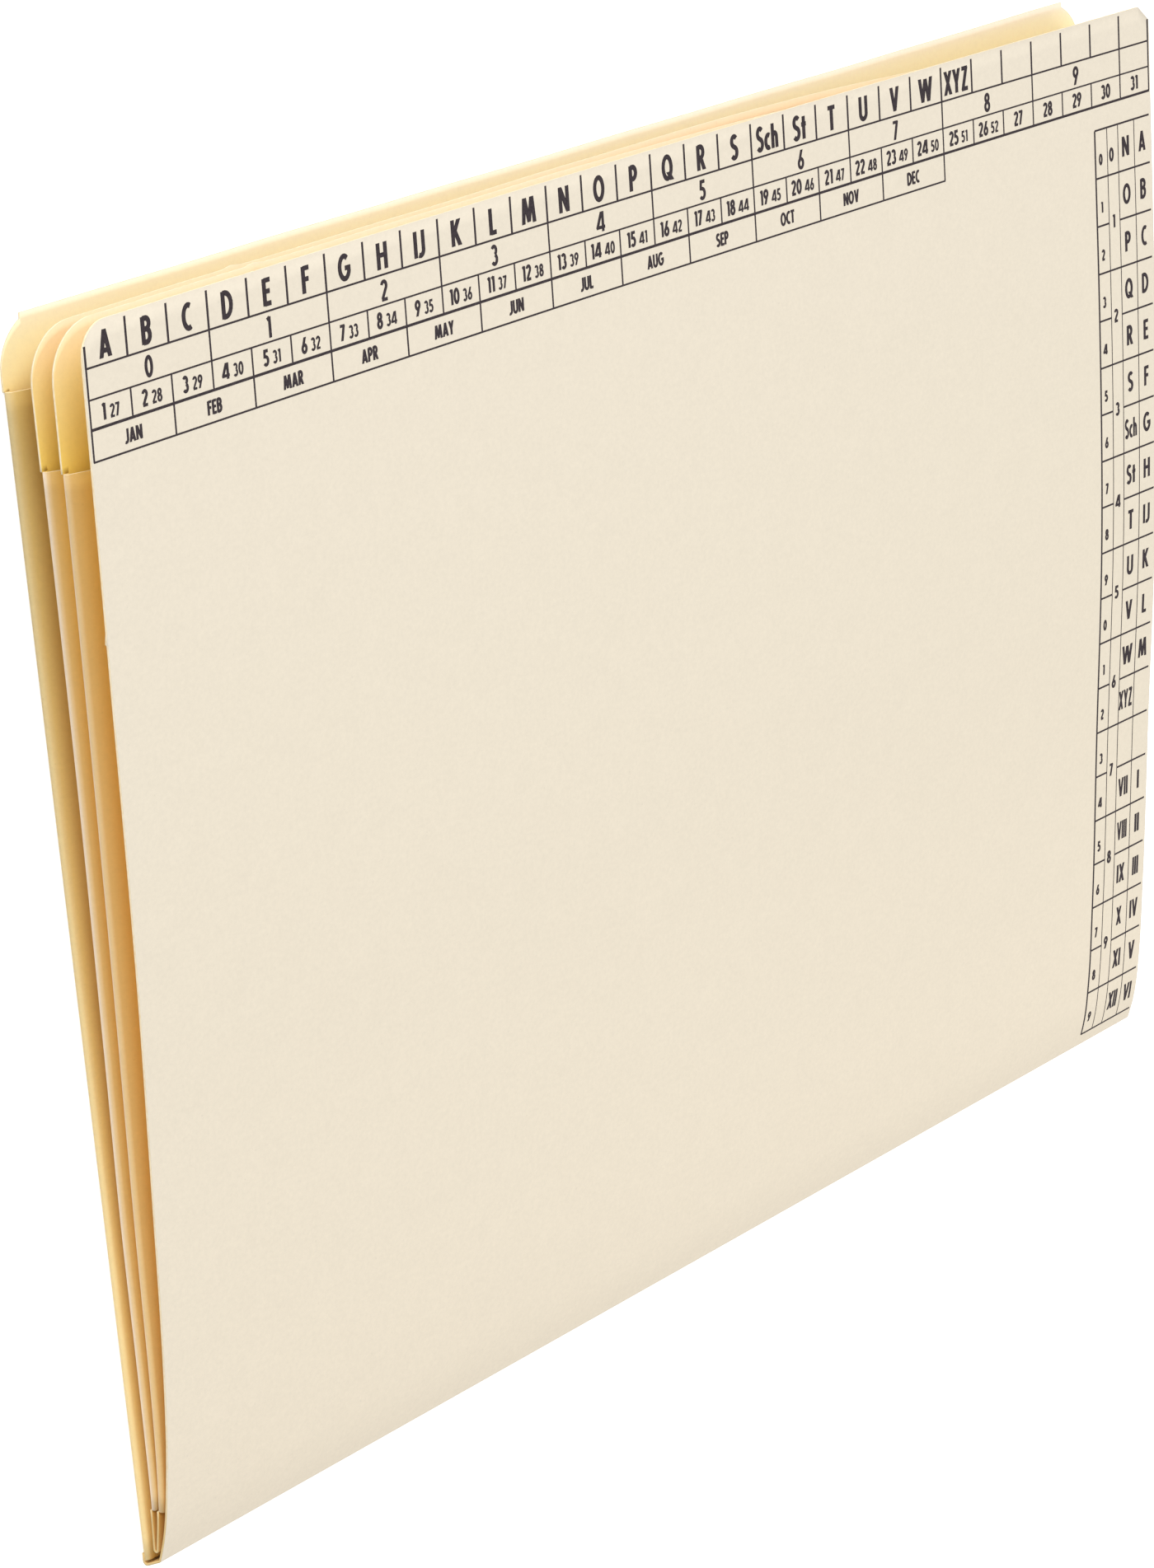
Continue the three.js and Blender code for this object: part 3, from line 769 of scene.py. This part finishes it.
def new_material(name, rough, specular):
    """A material with this roughness and specular level, its node tree and its main shader."""
    material = bpy.data.materials.new(name)
    material.use_nodes = True
    shader = material.node_tree.nodes["Principled BSDF"]
    shader.inputs["Roughness"].default_value = rough
    shader.inputs["Specular IOR Level"].default_value = specular
    return material, material.node_tree, shader


def card_material(name, stops, flap_painted_light_stops, spine_painted_lift=1.0, mottle=0.035):
    """Uncoated manila card, calendered but not glazed: matte, with the cloudy look of its fibres,
    a few tiny flecks and a fine tooth that takes the light softly. Its colour down the leaves and
    along the flaps is painted light and shade."""
    material, tree, shader = new_material(name, rough=0.82, specular=0.25)
    shader.inputs["IOR"].default_value = 1.45
    place = add(tree, "ShaderNodeTexCoord").outputs["Object"]
    depth = add(tree, "ShaderNodeAttribute", {"attribute_name": "depth"}).outputs["Fac"]
    # The colour by depth is painted light and shade, from the top edges down to the spine
    leaf = ramp(tree, depth, stops).outputs["Color"]
    # The flaps, from the fold at 0 to the glue line at 1: a painted highlight along the fold, then
    # painted shade and warm bounce light towards the glue line
    flap = add(tree, "ShaderNodeAttribute", {"attribute_name": "flap"}).outputs["Fac"]
    on_flap = add(tree, "ShaderNodeMapRange", Value=flap, From_Max=0.06).outputs["Result"]
    # Painted light: the flaps' colours are made lighter towards the spine, against the shade that falls
    # deep in the pockets
    flap_painted_lift = add(tree, "ShaderNodeMapRange", Value=depth, From_Min=0.1, From_Max=0.8, To_Min=0.88,
               To_Max=spine_painted_lift).outputs["Result"]
    flap_painted_light = add(tree, "ShaderNodeVectorMath", {"operation": "SCALE"},
                      n0=ramp(tree, flap, flap_painted_light_stops).outputs["Color"], Scale=flap_painted_lift).outputs["Vector"]
    base = add(tree, "ShaderNodeMix", {"data_type": "RGBA"}, n0=on_flap, n6=leaf,
               n7=flap_painted_light).outputs[2]
    # Fibre clouds about 6 mm wide, and felt marks under 1 mm, drawn a little coarse so that they show
    clouds = add(tree, "ShaderNodeTexNoise", {"noise_dimensions": "3D"}, Vector=place, Scale=170.0,
                 Detail=4.0, Roughness=0.6).outputs["Fac"]
    felt = add(tree, "ShaderNodeTexNoise", Vector=place, Scale=1100.0, Detail=3.0,
               Roughness=0.7).outputs["Fac"]
    faint = add(tree, "ShaderNodeMath", {"operation": "MULTIPLY"}, n0=clouds, n1=0.3).outputs[0]
    both = add(tree, "ShaderNodeMath", {"operation": "ADD"}, n0=faint, n1=felt).outputs[0]
    shade = add(tree, "ShaderNodeMapRange", Value=both, From_Min=0.4, From_Max=0.9,
                To_Min=1.0 - mottle, To_Max=1.0 + mottle).outputs["Result"]
    mixed = add(tree, "ShaderNodeVectorMath", {"operation": "SCALE"}, n0=base, Scale=shade)
    # Flecks: sparse darker fibres, about one every 11 mm each way
    cell = add(tree, "ShaderNodeTexVoronoi", Vector=place, Scale=260.0).outputs["Distance"]
    fleck = add(tree, "ShaderNodeMapRange", Value=cell, From_Min=0.03, From_Max=0.06, To_Min=0.94,
                To_Max=1.0).outputs["Result"]
    final = add(tree, "ShaderNodeVectorMath", {"operation": "SCALE"}, n0=mixed.outputs["Vector"],
                Scale=fleck)
    tree.links.new(final.outputs["Vector"], shader.inputs["Base Color"])
    tooth = add(tree, "ShaderNodeBump", Strength=0.05, Distance=0.00006, Height=felt)
    tree.links.new(tooth.outputs["Normal"], shader.inputs["Normal"])
    return material


def cut_edge_material():
    """The cut edge of card: fresh fibres without the pressed skin, so paler and rougher, and mottled
    about a millimetre wide."""
    material, tree, shader = new_material("card_cut_edge", rough=0.95, specular=0.15)
    place = add(tree, "ShaderNodeTexCoord").outputs["Object"]
    fibres = add(tree, "ShaderNodeTexNoise", Vector=place, Scale=900.0, Detail=4.0).outputs["Fac"]
    colour = ramp(tree, fibres, [(0.3, "#f4e0b6"), (0.7, "#fbefd2")]).outputs["Color"]
    # Painted shade: darker and golden beside the spine, where the dividers' feet lie deep in the folder
    depth = add(tree, "ShaderNodeAttribute", {"attribute_name": "depth"}).outputs["Fac"]
    spine_painted_shade = add(tree, "ShaderNodeMapRange", Value=depth, From_Min=0.92, From_Max=0.96)
    mixed = add(tree, "ShaderNodeMix", {"data_type": "RGBA"}, n0=spine_painted_shade.outputs["Result"],
                n6=colour, n7=linear("#e6ca90"))
    tree.links.new(mixed.outputs[2], shader.inputs["Base Color"])
    return material


def ink_material(name, dark, pale):
    """Offset printing ink on uncoated card: matte near-black with a violet-brown cast, a little uneven
    where the card's tooth took less ink."""
    material, tree, shader = new_material(name, rough=0.7, specular=0.3)
    place = add(tree, "ShaderNodeTexCoord").outputs["Object"]
    tooth = add(tree, "ShaderNodeTexNoise", Vector=place, Scale=2500.0, Detail=3.0).outputs["Fac"]
    colour = ramp(tree, tooth, [(0.35, dark), (0.75, pale)]).outputs["Color"]
    tree.links.new(colour, shader.inputs["Base Color"])
    return material


# Painted light by depth in the pockets: a pale painted highlight at the top edges, then painted shade and
# warm bounce light, golden and darker deeper down towards the spine
DEEP_PAINTED_SHADE = [(0.4, "#fcc85a"), (0.95, "#e8b45e"), (1.0, "#ecca8a")]
COVER_POCKET_PAINTED_LIGHT = [(0.0, "#fff4e0"), (0.006, "#fff4d2"), (0.02, "#fff3c6"), (0.045, "#ffeeb8"),
                (0.07, "#f8dc8c"), (0.11, "#f6d474"), (0.16, "#fed660"), *DEEP_PAINTED_SHADE]
DIVIDER_POCKET_PAINTED_LIGHT = [(0.0, "#fce6cc"), (0.006, "#fce2be"), (0.05, "#fbe2a0"), (0.12, "#ffde6c"),
                  (0.2, "#ffd868"), *DEEP_PAINTED_SHADE]
# The outside is painted a little lighter towards the spine, painted light; its flaps get a pale painted
# highlight at the fold that goes through painted shade to brown at the glue line
FACE = card_material(
    "manila_card_outside",
    [(0.0, "#e5dccb"), (0.35, "#e6ddcb"), (0.8, "#e9dfcc"), (1.0, "#ede2ce")],
    [(0.0, "#e2d4b0"), (0.1, "#e2cc98"), (0.2, "#dcbe78"), (0.5, "#c09850"), (0.8, "#a07636"),
     (1.0, "#8c6222")], spine_painted_lift=1.42)
INSIDE = card_material("manila_card_inside", COVER_POCKET_PAINTED_LIGHT, [(0.0, "#f5dcb4"), (1.0, "#d9a050")],
                       mottle=0.03)
INSERT = card_material(
    "manila_card_divider", DIVIDER_POCKET_PAINTED_LIGHT,
    [(0.0, "#f0dcc0"), (0.06, "#f6e6d2"), (0.11, "#e6c898"), (0.18, "#e2bc76"), (0.45, "#f0c468"),
     (1.0, "#fad068")],
    spine_painted_lift=1.12, mottle=0.03)
CUT_EDGE = cut_edge_material()
INK = ink_material("printing_ink", "#2a2227", "#40363b")

outer = outer_sheet([FACE, INSIDE, CUT_EDGE])
inner = inner_sheet([INSERT, INSERT, CUT_EDGE])
lines = index_lines(INK)
letters = index_letters(INK)

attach(outer, "root")
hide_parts("outer_cover")
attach(inner, "root")
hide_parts("divider_insert")
for print_piece in (lines, letters):
    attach(print_piece, "root")

# Floor, lights and camera


def floor_piece():
    """A plain white floor, 6 m square, that glows for the camera alone so that it looks white."""
    material, tree, shader = new_material("white_studio_floor", rough=0.9, specular=0.1)
    shader.inputs["Base Color"].default_value = linear("#f4f4f4")
    seen = add(tree, "ShaderNodeLightPath").outputs["Is Camera Ray"]
    strength = add(tree, "ShaderNodeMath", {"operation": "MULTIPLY"}, n0=seen, n1=0.55).outputs[0]
    shader.inputs["Emission Color"].default_value = (1, 1, 1, 1)
    tree.links.new(strength, shader.inputs["Emission Strength"])
    half = 3.0
    corners = [(-half, -half, 0), (half, -half, 0), (half, half, 0), (-half, half, 0)]
    new_piece("floor", corners, [(0, 1, 2, 3)], [material])


def world_light(level):
    """An even white surround. The camera sees it as pure white."""
    world = bpy.data.worlds.new("studio")
    bpy.context.scene.world = world
    world.use_nodes = True
    tree = world.node_tree
    ground = tree.nodes["Background"]
    ground.inputs["Color"].default_value = (1, 1, 1, 1)
    seen = add(tree, "ShaderNodeLightPath").outputs["Is Camera Ray"]
    strength = add(tree, "ShaderNodeMapRange", Value=seen, To_Min=level, To_Max=1.0)
    tree.links.new(strength.outputs["Result"], ground.inputs["Strength"])


def soft_lamp(name, place, watts):
    """A square softbox at a place, turned towards the folder."""
    light = bpy.data.lights.new(name, "AREA")
    light.shape = "SQUARE"
    light.size = 1.2
    light.energy = watts
    light.color = linear("#fffdfa")[:3]
    lamp = bpy.data.objects.new(name, light)
    away = np.array(place) / np.linalg.norm(place)
    side = np.cross((0, 1, 0.01), away)
    side /= np.linalg.norm(side)
    up = np.cross(away, side)
    matrix = np.eye(4)
    matrix[:3, :3] = np.stack([side, up, away], 1)
    matrix[:3, 3] = place
    lamp.matrix_world = Matrix(matrix.tolist())
    bpy.context.scene.collection.objects.link(lamp)


floor_piece()
world_light(level=0.50)
soft_lamp("mouth_softbox", (-0.6, 1.2, 0.8), watts=18.5)
soft_lamp("spine_softbox", (0.7, -0.8, 1.2), watts=10.5)

# The camera's place and turn relative to the folder are those fitted to the photograph's index
camera_data = bpy.data.cameras.new("camera")
camera_data.sensor_width = 36
camera_data.lens = 119.03
camera_data.clip_start = 0.01
camera = bpy.data.objects.new("camera", camera_data)
camera.matrix_world = Matrix((
    (0.6276547, 0.2778066, -0.7272366, -0.7389069),
    (-0.0853431, 0.9530846, 0.2904243, 0.2797753),
    (0.7737998, -0.1202215, 0.6219169, 0.6160726),
    (0, 0, 0, 1),
))
bpy.context.scene.collection.objects.link(camera)
bpy.context.scene.camera = camera
bpy.context.scene.view_settings.view_transform = "Standard"

bpy.context.view_layer.update()
